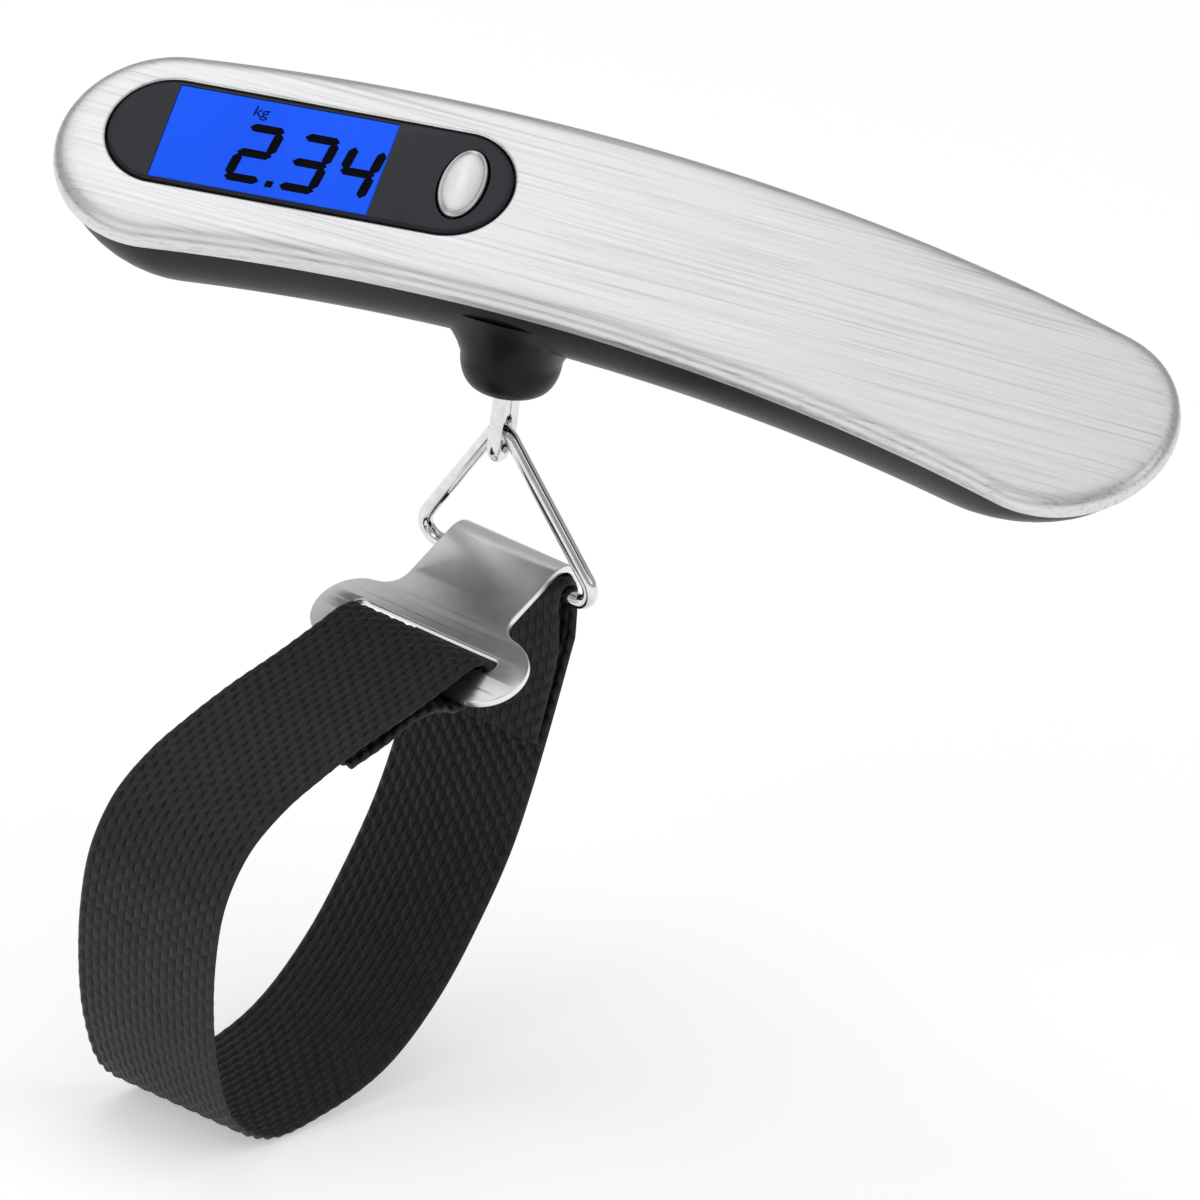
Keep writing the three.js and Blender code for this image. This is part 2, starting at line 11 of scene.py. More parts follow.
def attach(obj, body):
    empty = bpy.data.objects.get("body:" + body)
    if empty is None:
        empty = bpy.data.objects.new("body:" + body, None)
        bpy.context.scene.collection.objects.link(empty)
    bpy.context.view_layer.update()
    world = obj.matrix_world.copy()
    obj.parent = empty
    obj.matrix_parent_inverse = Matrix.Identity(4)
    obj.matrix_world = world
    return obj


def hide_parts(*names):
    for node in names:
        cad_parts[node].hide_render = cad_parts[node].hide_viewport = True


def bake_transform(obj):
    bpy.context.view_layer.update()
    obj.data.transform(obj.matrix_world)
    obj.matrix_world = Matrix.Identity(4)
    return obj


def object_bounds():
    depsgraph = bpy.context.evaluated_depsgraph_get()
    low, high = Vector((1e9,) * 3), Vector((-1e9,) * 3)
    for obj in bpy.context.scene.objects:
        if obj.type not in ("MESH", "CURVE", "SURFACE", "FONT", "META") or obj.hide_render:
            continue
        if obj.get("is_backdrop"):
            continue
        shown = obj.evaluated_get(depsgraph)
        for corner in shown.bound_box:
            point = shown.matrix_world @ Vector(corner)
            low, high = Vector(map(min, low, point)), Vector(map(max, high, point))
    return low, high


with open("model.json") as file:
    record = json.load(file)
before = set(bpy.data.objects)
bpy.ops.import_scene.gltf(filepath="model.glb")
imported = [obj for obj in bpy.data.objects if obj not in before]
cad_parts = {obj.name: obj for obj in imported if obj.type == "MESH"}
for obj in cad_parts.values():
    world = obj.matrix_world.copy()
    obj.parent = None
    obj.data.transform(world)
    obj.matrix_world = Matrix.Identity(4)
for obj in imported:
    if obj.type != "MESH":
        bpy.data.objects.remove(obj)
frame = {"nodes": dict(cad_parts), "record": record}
cad_low, cad_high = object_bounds()
MM = 0.001

# ---- driving dimensions, the same as the CAD's ----
TILT = math.radians(31.6)
ARC_R, ARC_X = 338.0, 6.55
ARC_Y = -0.72 - ARC_R
BAR_LEFT, BAR_RIGHT, BAR_HALF = -69.7, 102.0, 16.4
RIM_DEPTH = 3.0
HULL_INSET, HULL_TOP, HULL_DEPTH, HULL_WALL = 1.0, -2.8, 15.9, 1.8
RIGHT_TAPER, LEFT_TAPER = 27.0, 12.0
DISPLAY = Vector((-33.0, -1.9, 0.0))
DISPLAY_TURN = math.radians(5.5)
WINDOW_R, WINDOW_HALF = 9.1, 21.0
LCD_X, LCD_W, LCD_H = -5.4, 32.6, 16.4
BUTTON_X, BUTTON_RX, BUTTON_RY = 22.7, 3.3, 5.95
BOSS_HOLE_R = 4.4
SCREWS = [(-60.2, -3.0), (-60.2, -11.0), (87.0, -5.4), (87.0, -15.4)]
DOOR = (44.0, 72.0, -15.0, 5.0)
EYE_HALF, EYE_TOP, EYE_BOTTOM, EYE_WIRE = 2.8, -13.0, -35.8, 1.0
RING_WIRE, RING_HALF, RING_HEIGHT, RING_APEX = 1.1, 15.3, 23.7, -35.0
RING_YAW, RING_LEAN = math.radians(-17), math.radians(13)
HOOK_T, HOOK_R, HOOK_SLOPE, HOOK_WRAP = 1.2, 3.6, math.radians(29), math.radians(165)
HOOK_LENGTH, HOOK_NECK, HOOK_WIDTH = 25.5, 19.3, 37.0
SLOT_CENTRE, SLOT_W, SLOT_L = 18.3, 3.0, 26.5
STRAP_HALF, STRAP_T, EYE_STRAP_HALF = 12.5, 1.3, 11.1

UP = Vector((0, 0, 1))
ACROSS = Vector((math.cos(RING_YAW), math.sin(RING_YAW), 0))
FORWARD = Vector((math.sin(RING_YAW), -math.cos(RING_YAW), 0))
RING_UP = FORWARD * math.sin(RING_LEAN) + UP * math.cos(RING_LEAN)
BAR = Vector((0, 0, RING_APEX)) - RING_UP * RING_HEIGHT


def basis(x, y, z, origin=Vector()):
    """A matrix from a local frame in mm to the world in metres."""
    turned = Matrix((x, y, z)).transposed().to_4x4()
    return Matrix.Scale(MM, 4) @ Matrix.Translation(origin) @ turned


IN_HANDLE = Matrix.Scale(MM, 4) @ Matrix.Rotation(TILT, 4, "X")
IN_DISPLAY = IN_HANDLE @ Matrix.Translation(DISPLAY) @ Matrix.Rotation(DISPLAY_TURN, 4, "Z")
IN_WORLD = Matrix.Scale(MM, 4)
IN_RING = basis(ACROSS, RING_UP.cross(ACROSS), RING_UP, Vector((0, 0, RING_APEX)))
ALONG = FORWARD * math.cos(HOOK_SLOPE) - UP * math.sin(HOOK_SLOPE)
OFF = FORWARD * math.sin(HOOK_SLOPE) + UP * math.cos(HOOK_SLOPE)
IN_HOOK = basis(-ACROSS, ALONG, OFF, BAR)
IN_SIDE = basis(FORWARD, UP, -ACROSS, BAR)


# ---- materials ----
class Nodes:
    """Short hand for building one node material."""

    def __init__(self, name):
        self.material = bpy.data.materials.new(name)
        self.material.use_nodes = True
        self.tree = self.material.node_tree
        self.shader = self.tree.nodes["Principled BSDF"]

    def add(self, kind, inputs=None, **settings):
        node = self.tree.nodes.new(kind)
        for key, value in settings.items():
            setattr(node, key, value)
        for key, value in (inputs or {}).items():
            if isinstance(value, bpy.types.NodeSocket):
                self.tree.links.new(value, node.inputs[key])
            else:
                node.inputs[key].default_value = value
        return node

    def set(self, **values):
        for key, value in values.items():
            socket = self.shader.inputs[key.replace("_", " ")]
            if isinstance(value, bpy.types.NodeSocket):
                self.tree.links.new(value, socket)
            else:
                socket.default_value = value

    def place(self, scale=(1, 1, 1), turn=(0, 0, 0)):
        coords = self.add("ShaderNodeTexCoord")
        turned = self.add("ShaderNodeMapping", {"Vector": coords.outputs["Object"], "Rotation": turn})
        sized = self.add("ShaderNodeMapping", {"Vector": turned.outputs["Vector"], "Scale": scale})
        return sized.outputs["Vector"]

    def noise(self, vector, scale, detail=3.0, rough=0.5):
        inputs = {"Vector": vector, "Scale": scale, "Detail": detail, "Roughness": rough}
        return self.add("ShaderNodeTexNoise", inputs).outputs["Fac"]

    def range(self, value, low, high, start=0.3, end=0.7):
        inputs = {"Value": value, "From Min": start, "From Max": end, "To Min": low, "To Max": high}
        return self.add("ShaderNodeMapRange", inputs).outputs["Result"]

    def shade(self, value, dark, light, start=0.3, end=0.7):
        ramp = self.add("ShaderNodeValToRGB", {"Fac": value})
        ramp.color_ramp.elements[0].position = start
        ramp.color_ramp.elements[1].position = end
        ramp.color_ramp.elements[0].color = (*dark, 1)
        ramp.color_ramp.elements[1].color = (*light, 1)
        return ramp.outputs["Color"]

    def bump(self, height, strength, distance):
        inputs = {"Height": height, "Strength": strength, "Distance": distance * MM}
        self.set(Normal=self.add("ShaderNodeBump", inputs).outputs["Normal"])


def grey(value):
    return (value, value, value * 1.01)


def brushed_steel():
    n = Nodes("brushed_steel")
    turn = (-TILT, 0, 0)
    fine = n.noise(n.place((45, 5200, 5200), turn), 1.0, 4, 0.6)
    broad = n.noise(n.place((22, 1700, 1700), turn), 1.0, 3, 0.5)
    both = n.add("ShaderNodeMath", {0: fine, 1: broad}, operation="ADD").outputs[0]
    n.set(Base_Color=n.shade(both, grey(0.5), grey(0.74), 0.7, 1.3), Metallic=1.0)
    n.set(Roughness=n.range(fine, 0.3, 0.46))
    n.bump(fine, 0.12, 0.03)
    return n.material


def satin_black(name="black_abs", level=0.008, rough=0.3):
    n = Nodes(name)
    grain = n.noise(n.place(), 5200, 3, 0.6)
    cloud = n.noise(n.place(), 60, 2)
    n.set(Base_Color=n.shade(cloud, grey(level * 0.9), grey(level * 1.2)))
    n.set(Roughness=n.range(cloud, rough, rough + 0.1))
    n.shader.inputs["Specular IOR Level"].default_value = 0.16
    n.bump(grain, 0.14, 0.03)
    return n.material


def window_lens():
    n = Nodes("window_lens")
    smear = n.noise(n.place(), 45, 2)
    n.set(Base_Color=n.shade(smear, (0.018, 0.021, 0.028), (0.024, 0.027, 0.035)))
    n.set(Roughness=n.range(smear, 0.05, 0.1), Coat_Weight=0.1)
    n.shader.inputs["Coat Roughness"].default_value = 0.03
    n.shader.inputs["Specular IOR Level"].default_value = 0.12
    return n.material


def chrome(name="chrome", low=0.66, high=0.82, rough=(0.05, 0.14)):
    n = Nodes(name)
    wear = n.noise(n.place(), 420, 4, 0.6)
    n.set(Base_Color=n.shade(wear, grey(low), grey(high)), Metallic=1.0, Roughness=n.range(wear, *rough))
    n.bump(n.noise(n.place(), 900, 2), 0.05, 0.04)
    return n.material


def display_blue():
    n = Nodes("lcd_blue")
    glow = n.noise(n.place(), 38, 1)
    lit = n.shade(glow, (0.0008, 0.068, 0.72), (0.0015, 0.085, 0.82))
    n.set(Base_Color=lit, Emission_Color=lit, Roughness=0.18)
    n.shader.inputs["Emission Strength"].default_value = 0.5
    n.shader.inputs["Specular IOR Level"].default_value = 0.1
    return n.material


def webbing(name="webbing", level=0.005):
    n = Nodes(name)
    fuzz = n.noise(n.place(), 2600, 5, 0.7)
    patch = n.noise(n.place(), 240, 3)
    both = n.add("ShaderNodeMath", {0: fuzz, 1: patch}, operation="ADD").outputs[0]
    n.set(Base_Color=n.shade(both, grey(level * 0.5), grey(level * 1.7), 0.75, 1.3))
    n.set(Roughness=n.range(fuzz, 0.45, 0.7))
    n.shader.inputs["Sheen Weight"].default_value = 0.03
    n.shader.inputs["Sheen Roughness"].default_value = 0.45
    n.bump(fuzz, 0.5, 0.12)
    return n.material


def plain(name, colour, rough, metallic=0.0, specular=0.5):
    n = Nodes(name)
    vary = n.noise(n.place(), 300, 3)
    dark = tuple(c * 0.85 for c in colour)
    n.set(Base_Color=n.shade(vary, dark, colour), Metallic=metallic)
    n.set(Roughness=n.range(vary, rough, rough + 0.12))
    n.shader.inputs["Specular IOR Level"].default_value = specular
    n.bump(n.noise(n.place(), 2400, 2), 0.08, 0.03)
    return n.material


STEEL, BLACK, LENS, CHROME = brushed_steel(), satin_black(), window_lens(), chrome()
POLISHED = chrome("polished_plate", 0.84, 0.88, (0.3, 0.33))
SILVER = chrome("silver_button", 0.56, 0.62, (0.24, 0.3))
BLUE, WEB = display_blue(), webbing()
THREAD = plain("thread", (0.03, 0.03, 0.03), 0.6)
INK = plain("lcd_ink", (0.001, 0.001, 0.006), 0.5, specular=0.05)
NODE_LOOKS = {
    "black_abs": BLACK,
    "screw_steel": plain("screw_steel", (0.5, 0.5, 0.52), 0.3, 1.0),
    "white_abs": plain("white_abs", (0.8, 0.8, 0.78), 0.5),
    "lcd": BLUE,
    "grey_rubber": plain("grey_rubber", (0.25, 0.25, 0.25), 0.8),
    "board": plain("board", (0.03, 0.16, 0.07), 0.4),
    "cell_steel": plain("cell_steel", (0.62, 0.62, 0.6), 0.28, 1.0),
    "window": LENS,
    "brass_contact": plain("brass_contact", (0.7, 0.55, 0.25), 0.3, 1.0),
    "red_wire": plain("red_wire", (0.45, 0.02, 0.02), 0.45),
    "black_wire": plain("black_wire", (0.02, 0.02, 0.02), 0.45),
    "alloy": plain("alloy", (0.6, 0.61, 0.63), 0.35, 1.0),
    "brushed_plate": STEEL,
    "silver_button": SILVER,
    "chrome_wire": CHROME,
    "polished_plate": POLISHED,
    "webbing": WEB,
}


# ---- mesh helpers ----
def make(name, verts, faces, material, matrix, body, slot, smooth=40, replaces=()):
    mesh = bpy.data.meshes.new(name)
    mesh.from_pydata([tuple(v) for v in verts], [], [tuple(f) for f in faces])
    return finish_mesh(name, mesh, material, matrix, body, smooth, replaces)


def finish_mesh(name, mesh, material, matrix, body, smooth=40, replaces=()):
    mesh.transform(matrix)
    bm = bmesh.new()
    bm.from_mesh(mesh)
    bmesh.ops.remove_doubles(bm, verts=bm.verts, dist=1e-7)
    bmesh.ops.recalc_face_normals(bm, faces=bm.faces)
    bm.to_mesh(mesh)
    bm.free()
    made = bpy.data.objects.new(name, mesh)
    bpy.context.collection.objects.link(made)
    mesh.materials.clear()
    mesh.materials.append(material)
    soften(made, smooth)
    if body:
        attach(made, body)
    if replaces:
        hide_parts(*replaces)
    return made


def soften(obj, degrees):
    """Smooth shading with creases kept sharp past an angle."""
    bm = bmesh.new()
    bm.from_mesh(obj.data)
    for face in bm.faces:
        face.smooth = True
    for edge in bm.edges:
        edge.smooth = not edge.is_manifold or edge.calc_face_angle(0) < math.radians(degrees)
    bm.to_mesh(obj.data)
    bm.free()


def loft(rings, cap_first=True, cap_last=True):
    """Closed rings of equal point counts joined into a skin."""
    count = len(rings[0])
    verts = [point for ring in rings for point in ring]
    faces = []
    for i in range(len(rings) - 1):
        for j in range(count):
            a, b = i * count + j, i * count + (j + 1) % count
            faces.append((a, b, b + count, a + count))
    if cap_first:
        faces.append(tuple(range(count)))
    if cap_last:
        faces.append(tuple(len(verts) - count + j for j in range(count)))
    return verts, faces


def arc(cx, cy, radius, start, end, steps):
    turns = np.linspace(start, end, steps, endpoint=False)
    return [(cx + radius * math.cos(t), cy + radius * math.sin(t)) for t in turns]


def on_arc(x):
    turn = math.asin((x - ARC_X) / ARC_R)
    return x, ARC_Y + ARC_R * math.cos(turn), turn


def bar_outline(half, left, right, side_steps=40, cap_steps=40):
    ax, ay, at = on_arc(left + half)
    bx, by, bt = on_arc(right - half)
    q = math.pi / 2
    points = arc(ARC_X, ARC_Y, ARC_R + half, q - at, q - bt, side_steps)
    points += arc(bx, by, half, q - bt, -q - bt, cap_steps)
    points += arc(ARC_X, ARC_Y, ARC_R - half, q - bt, q - at, side_steps)
    points += arc(ax, ay, half, -q - at, -3 * q - at, cap_steps)
    return points


def inset(by):
    return bar_outline(BAR_HALF - by, BAR_LEFT + by, BAR_RIGHT - by)


def at_height(points, z):
    return [(x, y, z) for x, y in points]


def stadium(half, radius, steps=28):
    q = math.pi / 2
    return arc(half, 0, radius, -q, q, steps) + arc(-half, 0, radius, q, 3 * q, steps)


def oval(x, rx, ry, steps=64):
    turns = [2 * math.pi * i / steps for i in range(steps)]
    return [(x + rx * math.cos(t), ry * math.sin(t)) for t in turns]


def in_display(points):
    c, s = math.cos(DISPLAY_TURN), math.sin(DISPLAY_TURN)
    return [(DISPLAY.x + c * x - s * y, DISPLAY.y + s * x + c * y) for x, y in points]


def fill_between(bm, outer, inner):
    """Flat face with a hole between two closed rows of vertices."""
    edges = []
    for row in (outer, inner):
        for i, vert in enumerate(row):
            edge = bm.edges.get((vert, row[(i + 1) % len(row)]))
            edges.append(edge or bm.edges.new((vert, row[(i + 1) % len(row)])))
    bmesh.ops.triangle_fill(bm, edges=edges, use_beauty=True)


def pierced(outer_rings, inner_rings):
    """A plate: outer and inner skins, both from the top down, closed flat at top and bottom."""
    bm = bmesh.new()
    skins = []
    for rings in (outer_rings, inner_rings):
        rows = [[bm.verts.new(p) for p in ring] for ring in rings]
        for upper, lower in zip(rows, rows[1:]):
            for j in range(len(upper)):
                k = (j + 1) % len(upper)
                bm.faces.new((upper[j], upper[k], lower[k], lower[j]))
        skins.append(rows)
    fill_between(bm, skins[0][0], skins[1][0])
    fill_between(bm, skins[0][-1], skins[1][-1])
    mesh = bpy.data.meshes.new("pierced")
    bm.to_mesh(mesh)
    bm.free()
    return mesh


def boolean(target, tool, operation):
    modifier = target.modifiers.new("cut", "BOOLEAN")
    modifier.object = tool
    modifier.operation = operation
    modifier.solver = "EXACT"
    bpy.context.view_layer.update()
    depsgraph = bpy.context.evaluated_depsgraph_get()
    mesh = bpy.data.meshes.new_from_object(target.evaluated_get(depsgraph))
    target.modifiers.clear()
    target.data = mesh
    bpy.data.objects.remove(tool)


def tool(verts, faces, matrix):
    return make("tool", verts, faces, BLACK, matrix, None, None)


def column(x, y, low, high, radius, steps=40):
    turns = np.linspace(0, 2 * math.pi, steps, False)
    flat = [(x + radius * math.cos(t), y + radius * math.sin(t)) for t in turns]
    return loft([at_height(flat, low), at_height(flat, high)])


# ---- handle ----
def front_plate():
    """Plate with a rolled rim; each pair is the draw-in from the outline, or growth of the window, and z."""
    sheet = -0.85
    rim = [(3.4, 0), (2.4, -0.03), (1.6, -0.16), (0.95, -0.42), (0.45, -0.82), (0.12, -1.4), (0, -2)]
    rim += [(0, -2.8), (0.3, -RIM_DEPTH), (0.7, -RIM_DEPTH), (0.7, sheet)]
    lip = [(0.45, 0.02), (0.25, 0.0), (0.08, -0.12), (0.0, -0.35), (0, sheet)]
    outer = [at_height(inset(by), z) for by, z in rim]
    inner = [at_height(in_display(stadium(WINDOW_HALF, WINDOW_R + grow)), z) for grow, z in lip]
    plate = pierced(outer, inner)
    finish_mesh("steel_plate", plate, STEEL, IN_HANDLE, "handle", 32, ["front_plate"])


def hull_rings(by, top, depth, levels=22):
    rings = []
    for level in range(levels + 1):
        turn = level / levels * 1.42
        t = math.sin(turn) ** (2 / 3)
        half = (BAR_HALF - HULL_INSET - by) * math.cos(turn) ** (2 / 3)
        left = BAR_LEFT + HULL_INSET + by + LEFT_TAPER * t ** 2.2
        right = BAR_RIGHT - HULL_INSET - by - RIGHT_TAPER * t ** 1.8
        z = top if level == 0 else HULL_TOP - depth * t
        rings.append(at_height(bar_outline(half, left, right, 36, 24), z))
    return rings


def boss_profile():
    """Radii across and along, and height, down the boss: a wide soft flare, then a rounded bowl."""
    flare = [(19.0, 10.4, -14.6), (16.0, 9.7, -15.8), (13.2, 9.0, -17.1), (11.0, 8.4, -18.5)]
    flare += [(9.3, 7.95, -20.0), (8.2, 7.6, -21.4), (7.55, 7.4, -22.6)]
    bowl = []
    for step in range(11):
        turn = step / 10 * math.pi / 2 * 0.96
        radius = 4.1 + 3.2 * math.cos(turn) ** 0.9
        bowl.append((radius, radius, -23.2 - 5.0 * math.sin(turn)))
    return flare + bowl


def turned(profile, steps=72):
    turns = np.linspace(0, 2 * math.pi, steps, False)
    return loft([[(rx * math.cos(t), ry * math.sin(t), z) for t in turns] for rx, ry, z in profile])


def hull_skin(name, body, node):
    verts, faces = loft(hull_rings(0, HULL_TOP, HULL_DEPTH))
    return make(name, verts, faces, BLACK, IN_HANDLE, body, "black_abs", replaces=[node])


def hollow(shell):
    inside = loft(hull_rings(HULL_WALL, 5, HULL_DEPTH - HULL_WALL, 12))
    boolean(shell, tool(*inside, IN_HANDLE), "DIFFERENCE")


def lower_housing():
    shell = hull_skin("black_hull", "handle", "lower_housing")
    boolean(shell, tool(*turned(boss_profile()), IN_WORLD), "UNION")
    hollow(shell)
    boolean(shell, tool(*column(0, 0, -60, -15, BOSS_HOLE_R), IN_WORLD), "DIFFERENCE")
    for x, y in SCREWS:
        boolean(shell, tool(*column(x, y, -30, -4, 2.5), IN_HANDLE), "DIFFERENCE")
    boolean(shell, tool(*door_block(0), IN_HANDLE), "DIFFERENCE")
    soften(shell, 32)


def door_block(by):
    x0, x1, y0, y1 = DOOR[0] + by, DOOR[1] - by, DOOR[2] + by, DOOR[3] - by
    r = 1.6 - by
    q = math.pi / 2
    corners = [(x1 - r, y1 - r, 0), (x0 + r, y1 - r, q)]
    corners += [(x0 + r, y0 + r, 2 * q), (x1 - r, y0 + r, 3 * q)]
    flat = [p for cx, cy, t in corners for p in arc(cx, cy, r, t, t + q * 1.001, 8)]
    return loft([at_height(flat, -30), at_height(flat, -9.3)])


def battery_door():
    door = hull_skin("door_skin", "door", "battery_door")
    hollow(door)
    boolean(door, tool(*door_block(0.25), IN_HANDLE), "INTERSECT")
    first, pitch, wide = 47.6, 1.3, 0.5
    for step in range(4):
        x = first + step * pitch
        flat = [(x, -11), (x + wide, -11), (x + wide, 1), (x, 1)]
        groove = loft([at_height(flat, z) for z in (-30, -18.35)])
        boolean(door, tool(*groove, IN_HANDLE), "DIFFERENCE")
    soften(door, 32)


def window():
    gap = 0.3
    hole = oval(BUTTON_X, BUTTON_RX + 0.35, BUTTON_RY + 0.35)
    edge = [(0.7, 0.16), (0.35, 0.14), (0.1, 0.03), (0, -0.2), (0, -1.4)]
    outer = [at_height(stadium(WINDOW_HALF, WINDOW_R - gap - by), z) for by, z in edge]
    inner = [at_height(hole, z) for z in (0.16, 0.1, -1.4)]
    lens = pierced(outer, inner)
    solid = finish_mesh("window_border", lens, LENS, IN_DISPLAY, "handle", 30, ["display_window"])
    x0, x1 = LCD_X - LCD_W / 2, LCD_X + LCD_W / 2
    view = [(x0, -LCD_H / 2), (x1, -LCD_H / 2), (x1, LCD_H / 2), (x0, LCD_H / 2)]
    boolean(solid, tool(*loft([at_height(view, z) for z in (-3, 3)]), IN_DISPLAY), "DIFFERENCE")
    soften(solid, 30)


def display_face():
    """Blue panel filling the window's opening, its top edge slightly bevelled."""
    w, h = LCD_W / 2 - 0.05, LCD_H / 2 - 0.05
    rings = []
    for by, z in [(0, -1.4), (0, -0.02), (0.12, 0.1)]:
        x0, x1, y1 = LCD_X - w + by, LCD_X + w - by, h - by
        rings.append(at_height([(x0, -y1), (x1, -y1), (x1, y1), (x0, y1)], z))
    make("display_face", *loft(rings), BLUE, IN_DISPLAY, "handle", "lcd", 20)


SEGMENTS = {"2": "abged", "3": "abgcd", "4": "fgbc"}


def segment(name, x, y, w, h, t):
    """One pointed bar, t thick, of a digit w wide and h high whose lower left corner is x, y."""
    g = 0.22  # gap left at a bar's ends
    across_y = {"a": y + h - t / 2, "g": y + h / 2, "d": y + t / 2}
    if name in across_y:
        cy = across_y[name]
        a, b = x + g, x + w - g
        return [(a, cy), (a + t / 2, cy + t / 2), (b - t / 2, cy + t / 2), (b, cy), (b - t / 2, cy - t / 2),
                (a + t / 2, cy - t / 2)]
    cx = x + t / 2 if name in "ef" else x + w - t / 2
    low = y + h / 2 if name in "bf" else y
    a = low + g + (t / 2 if name in "ce" else 0)
    b = low + h / 2 - g - (t / 2 if name in "bf" else 0)
    return [(cx, a), (cx + t / 2, a + t / 2), (cx + t / 2, b - t / 2), (cx, b), (cx - t / 2, b - t / 2),
            (cx - t / 2, a + t / 2)]


def slanted(points):
    return [(x + y * math.tan(math.radians(7)), y) for x, y in points]


def reading():
    """The digits 2.34, as thin dark shapes on the panel."""
    verts, faces = [], []

    def put(points):
        v, f = loft([at_height(slanted(points), z) for z in (0.1, 0.14)])
        faces.extend(tuple(i + len(verts) for i in face) for face in f)
        verts.extend(v)

    width, height, thick = 5.6, 10.4, 1.4
    y = -LCD_H / 2 + 1.7
    for digit, x in (("2", -5.1), ("3", 3.1), ("4", 10.2)):
        for name in SEGMENTS[digit]:
            put(segment(name, LCD_X + x, y, width, height, thick))
    dot, size = LCD_X + 1.3, 1.1
    put([(dot, y), (dot + size, y), (dot + size, y + size), (dot, y + size)])
    make("reading", verts, faces, INK, IN_DISPLAY, "handle", "lcd", 20)


def unit_sign():
    unit = bpy.data.curves.new("unit", "FONT")
    unit.body = "kg"
    unit.size = 2.6
    unit.extrude = 0.02
    unit.shear = 0.12
    text = bpy.data.objects.new("unit", unit)
    bpy.context.collection.objects.link(text)
    bpy.context.view_layer.update()
    mesh = bpy.data.meshes.new_from_object(text.evaluated_get(bpy.context.evaluated_depsgraph_get()))
    bpy.data.objects.remove(text)
    mesh.transform(Matrix.Translation((LCD_X - 4.9, LCD_H / 2 - 3.0, 0.12)))
    finish_mesh("unit_sign", mesh, INK, IN_DISPLAY, "handle", 20)


def button():
    """Oval cap with a soft rim and a low dome."""
    rim = [(0.6, -3.3), (0, -2.4), (0, 0.35), (0.08, 0.55)]
    rim += [(0.22, 0.66), (0.4, 0.68), (0.55, 0.6), (0.68, 0.55)]
    rings = [at_height(oval(BUTTON_X, BUTTON_RX - by, BUTTON_RY - by), z) for by, z in rim]
    for step in range(1, 8):
        part = step / 8
        size = math.cos(part * math.pi / 2)
        flat = oval(BUTTON_X, (BUTTON_RX - 0.7) * size, (BUTTON_RY - 0.7) * size)
        rings.append(at_height(flat, 0.55 + 0.35 * part))
    make("silver_cap", *loft(rings), SILVER, IN_DISPLAY, "button", "silver_button", 34, ["button_cap"])


# ---- wire parts ----
def wire(name, points, radius, matrix, body, node, sides=24):
    """Round wire along a closed flat loop of (across, up) points."""
    count = len(points)
    rings = []
    for i in range(count):
        before, here, after = (Vector(points[(i + k) % count]) for k in (-1, 0, 1))
        tangent = (after - before).normalized()
        out = Vector((tangent.y, -tangent.x))
        ring = []
        for j in range(sides):
            turn = 2 * math.pi * j / sides
            side = out * math.cos(turn) * radius
            ring.append((here.x + side.x, math.sin(turn) * radius, here.y + side.y))
        rings.append(ring)
    verts, faces = loft(rings + [rings[0]], False, False)
    return make(name, verts, faces, CHROME, matrix, body, "chrome_wire", 60, [node])


def rounded(corners, radii, steps=20):
    points = []
    for i, corner in enumerate(corners):
        here = Vector(corner)
        before = (Vector(corners[i - 1]) - here).normalized()
        after = (Vector(corners[(i + 1) % len(corners)]) - here).normalized()
        half = before.angle(after) / 2
        centre = here + (before + after).normalized() * radii[i] / math.sin(half)
        first = here + before * radii[i] / math.tan(half) - centre
        last = here + after * radii[i] / math.tan(half) - centre
        sweep = first.angle_signed(last)
        for k in range(steps + 1):
            offset = first.copy()
            offset.rotate(Matrix.Rotation(-sweep * k / steps, 2))
            points.append(tuple(centre + offset))
    return points


def dense(points, step=1.2):
    """More points along the straight stretches of a closed loop."""
    result = []
    for i, point in enumerate(points):
        here, after = Vector(point), Vector(points[(i + 1) % len(points)])
        count = max(1, round((after - here).length / step))
        result += [tuple(here.lerp(after, k / count)) for k in range(count)]
    return result


def eye_and_ring():
    top = arc(0, EYE_TOP, EYE_HALF, 0, math.pi, 24)
    bottom = arc(0, EYE_BOTTOM, EYE_HALF, math.pi, 2 * math.pi, 24)
    turned_z = IN_WORLD @ Matrix.Rotation(math.pi / 2, 4, "Z")
    wire("wire_eye", dense(top + bottom), EYE_WIRE, turned_z, "eye", "eye_link")
    foot = RING_HALF + 2.3
    corners = [(0, 1.7), (foot, -RING_HEIGHT), (-foot, -RING_HEIGHT)]
    wire("wire_ring", dense(rounded(corners, [2.2, 2.6, 2.6])), RING_WIRE, IN_RING, "ring", "ring")


